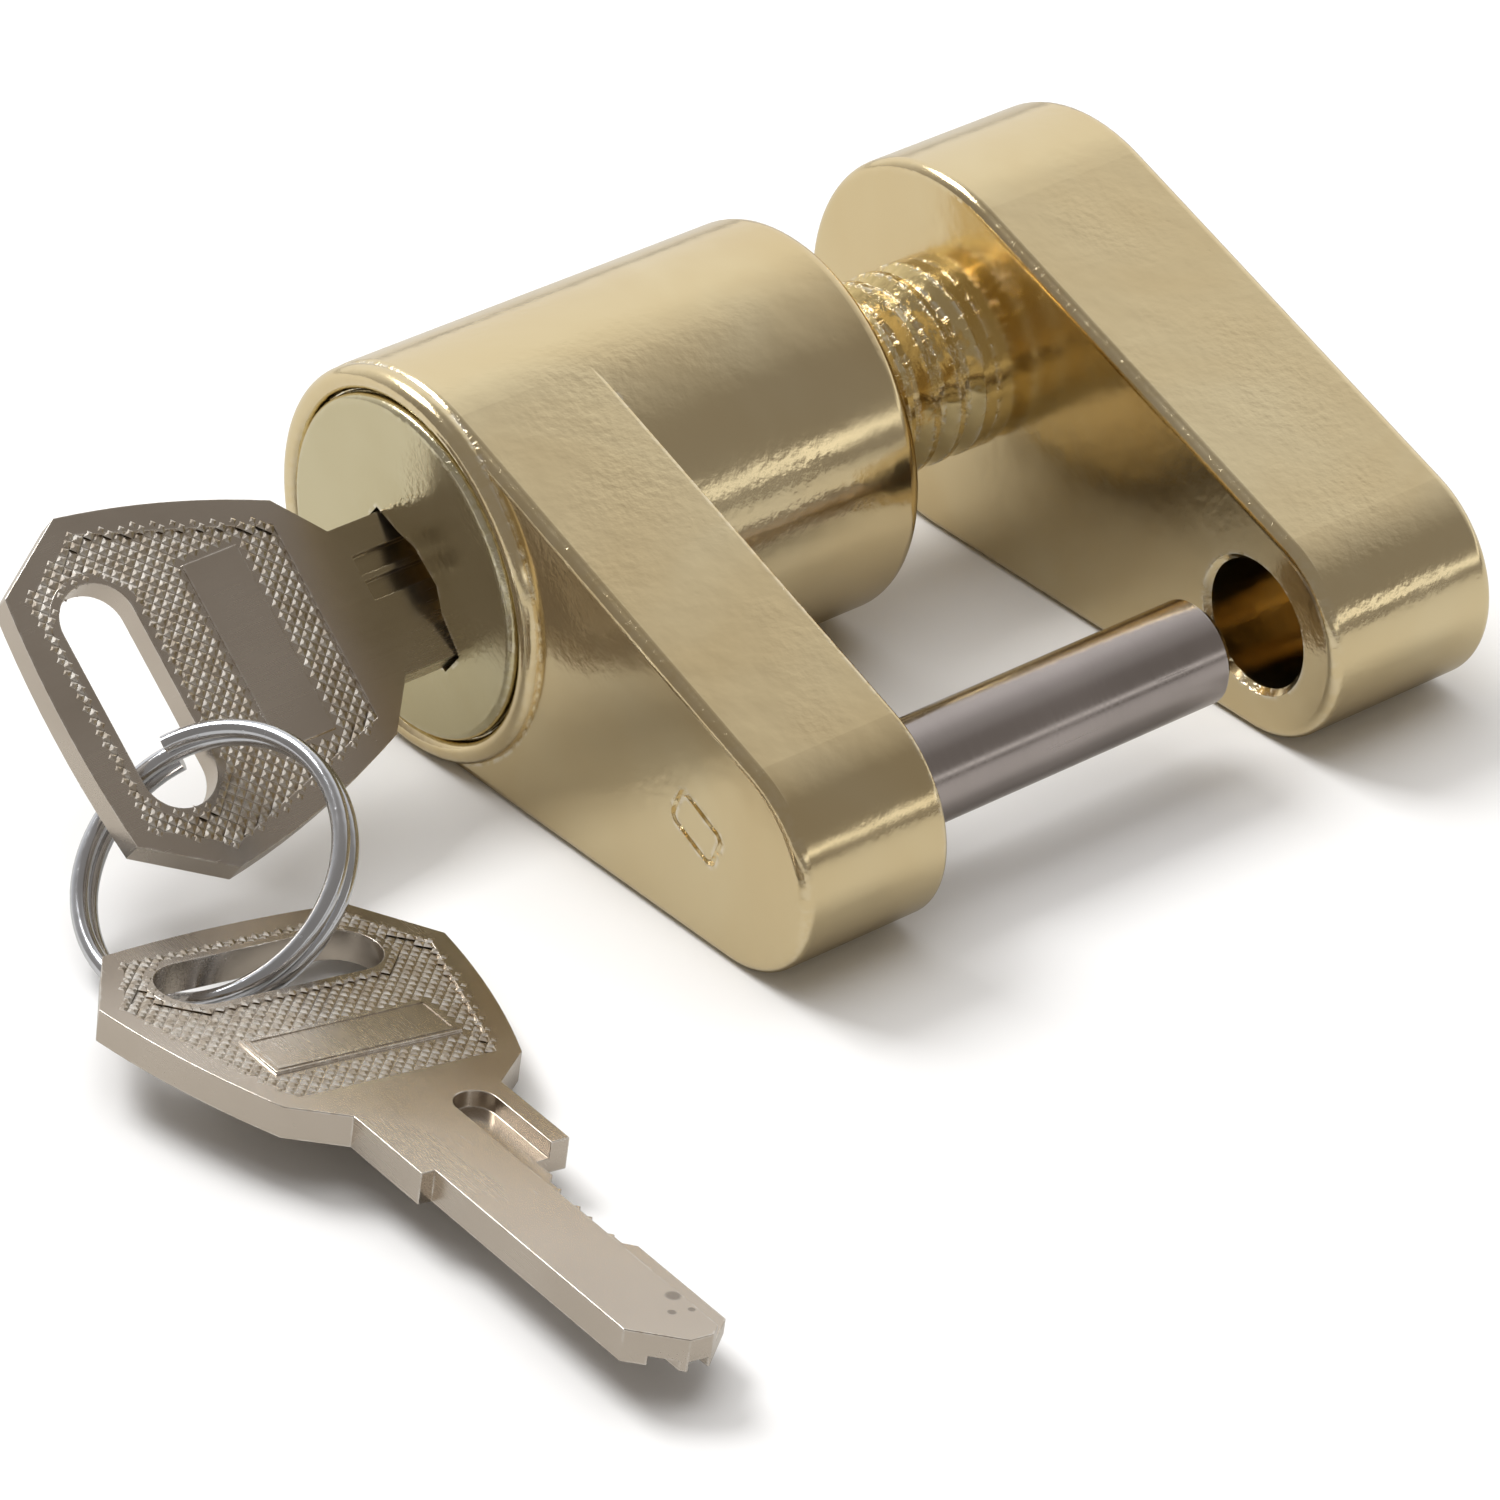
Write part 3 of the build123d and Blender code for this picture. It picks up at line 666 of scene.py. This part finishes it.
def label_frame(name, axes, half_thickness):
    """A thin raised rectangle on the label of each face."""
    work = bmesh.new()
    corners = ((1, 1), (-1, 1), (-1, -1), (1, -1))
    outer = [half - frame_inset for half in label_half]
    inner = [half - frame_width for half in outer]
    for side in (1, -1):
        foot = side * (half_thickness / mm - knurl_root)
        crest = side * (half_thickness / mm + frame_height)
        loops = []
        for (half_u, half_v), level in ((outer, foot), (outer, crest), (inner, crest), (inner, foot)):
            places = [(label_middle + a * half_u, b * half_v, level) for a, b in corners]
            loops.append([work.verts.new(Vector(place) * mm) for place in places])
        for index, loop in enumerate(loops):
            join_loops(work, loop, loops[(index + 1) % 4])
    bmesh.ops.recalc_face_normals(work, faces=work.faces)
    work.transform(axes @ Matrix.Translation((bow_end_bulge * mm, 0, 0)))
    return new_piece(name, work, axes, key_nickel)


frame_size = [round(2 * (half - frame_inset), 2) for half in label_half]
print("label frame, along and across the key in mm:", frame_size)

# %% [markdown]
# Both keys are cut from the same blank, so one loop makes the two. Each new piece rides on the body of the
# key it belongs to, and the blank stands for the CAD key.

# %% Both keys
key_edge_rounding = 0.09 * mm
for node, body in (("key_in_lock", "key"), ("spare_key", "spare")):
    work = read_solid(node)
    axes, half_thickness = key_axes(work)
    blank = rounded_blank(f"{node}_blank", work, axes, key_edge_rounding)
    knurl = coined_field(f"{node}_knurl", axes, half_thickness)
    pieces = [blank, knurl]
    if node == "spare_key":
        pieces.append(label_frame(f"{node}_frame", axes, half_thickness))
    for piece in pieces:
        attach(piece, body)
    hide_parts(node)
    reach = [(axes.inverted() @ vertex.co).x for vertex in blank.data.vertices]
    print("length", round((max(reach) - min(reach)) / mm, 2))
    print(node, "half thickness", round(half_thickness / mm, 2), "pyramids", len(knurl.data.vertices) // 8)

# %% [markdown]
# ## Camera, floor and light
# The camera stands well back with a long lens, so the lock is drawn almost without perspective. Its place is
# given as a point and three angles: the way it turns, how far it looks down, and a slight roll.

# %% Camera
camera_place = Vector((-0.22887, -0.28068, 0.23524))
camera_yaw = math.radians(51.839)
camera_pitch = math.radians(-32.687)
camera_roll = math.radians(-0.258)
forward = Vector((
    math.cos(camera_pitch) * math.cos(camera_yaw),
    math.cos(camera_pitch) * math.sin(camera_yaw),
    math.sin(camera_pitch),
))
level_right = forward.cross(Vector((0, 0, 1))).normalized()
level_up = level_right.cross(forward)
right = math.cos(camera_roll) * level_right + math.sin(camera_roll) * level_up
upward = math.cos(camera_roll) * level_up - math.sin(camera_roll) * level_right
camera_data = bpy.data.cameras.new("Camera")
camera_data.lens = 187.96
camera_data.sensor_width = 36
camera_data.clip_start = 0.01
camera = bpy.data.objects.new("Camera", camera_data)
turned = Matrix((right, upward, -forward)).transposed().to_4x4()
turned.translation = camera_place
camera.matrix_world = turned
scene.collection.objects.link(camera)
scene.camera = camera
print("camera at", [round(value, 3) for value in camera_place])

# %% [markdown]
# The floor is plain white paper. Metal shows whatever is around it, and a pure white floor would bleach
# the sides of the castings, so a Light Path node gives reflections a greyer floor than the eye sees.

# %% Floor
floor_mesh = bpy.data.meshes.new("Floor")
floor_half = 3.0
floor_gap = 0.02 * mm
floor_corners = [(floor_half * a, floor_half * b, 0) for a, b in ((-1, -1), (1, -1), (1, 1), (-1, 1))]
floor_mesh.from_pydata(floor_corners, [], [(0, 1, 2, 3)])
floor = bpy.data.objects.new("Floor", floor_mesh)
floor.location.z = floor_z - floor_gap
scene.collection.objects.link(floor)
floor_paint, tree, shader = start_material("Floor paper")
grain = noise_at(tree, own_place(tree), 40.0, 4.0)
paper_dark, paper_light = (0.88, 0.88, 0.88, 1.0), (0.92, 0.92, 0.92, 1.0)
reflected_floor = (0.55, 0.54, 0.52, 1.0)
white = mix_colour(tree, grain, paper_dark, paper_light)
seen = add(tree, "LightPath").outputs["Is Camera Ray"]
tree.links.new(mix_colour(tree, seen, reflected_floor, white), shader.inputs["Base Color"])
shader.inputs["Roughness"].default_value = 0.9
floor_mesh.materials.append(floor_paint)
print("floor level:", round(floor.location.z, 5))

# %% [markdown]
# One soft panel above and behind the lock throws the shadows forwards and draws bright lines along the edges.
# A broad fill, hidden from reflections, lifts the shadows. The rest of what the metal shows is the
# room: a bright backdrop behind, a dim ceiling, and a low white card in front that makes the narrow
# streak along the barrel and the pin. A world made of soft gradients is the simplest way to paint it.

# %% Lights
def panel(name, place, target, side, power):
    """A square soft panel that faces a point."""
    data = bpy.data.lights.new(name, "AREA")
    data.shape = "SQUARE"
    data.size = side
    data.energy = power
    light = bpy.data.objects.new(name, data)
    light.location = place
    light.rotation_euler = (Vector(target) - Vector(place)).to_track_quat("-Z", "Y").to_euler()
    scene.collection.objects.link(light)
    return light


middle = (cad_box[0] + cad_box[1]) / 2
panel("Soft key light", (-0.10, 0.34, 0.46), middle, side=0.24, power=2.2)
fill_light = panel("Broad fill", (0.0, 0.0, 0.9), middle, side=0.9, power=4.2)
fill_light.visible_glossy = False
world = bpy.data.worlds.new("Studio")
scene.world = world
world.use_nodes = True
tree = world.node_tree
back = tree.nodes["Background"]
toward = add(tree, "TexCoord").outputs["Generated"]
rise = add(tree, "SeparateXYZ", {"Vector": toward}).outputs["Z"]
backdrop_side = (0.62, 0.79, 0.0)
card_side = (0.57, -0.82, 0.0)
room_shade = (0.26, 0.24, 0.22, 1.0)
backdrop_shade = (0.90, 0.89, 0.88, 1.0)
ceiling_shade = (0.27, 0.25, 0.23, 1.0)
card_shade = (1.15, 1.13, 1.08, 1.0)
to_backdrop, to_card = (
    add(tree, "VectorMath", {0: toward, 1: side}, operation="DOT_PRODUCT").outputs["Value"]
    for side in (backdrop_side, card_side)
)
room = mix_colour(tree, spread(tree, to_backdrop, 0.0, 0.75), room_shade, backdrop_shade)
room = mix_colour(tree, spread(tree, rise, 0.80, 1.0), room, ceiling_shade)
card = times(tree, spread(tree, rise, 0.10, 0.15), spread(tree, rise, 0.27, 0.19))
card = times(tree, card, spread(tree, to_card, 0.45, 0.75))
room = mix_colour(tree, card, room, card_shade)
tree.links.new(room, back.inputs["Color"])
back.inputs["Strength"].default_value = 1.0
scene.view_settings.view_transform = "Standard"
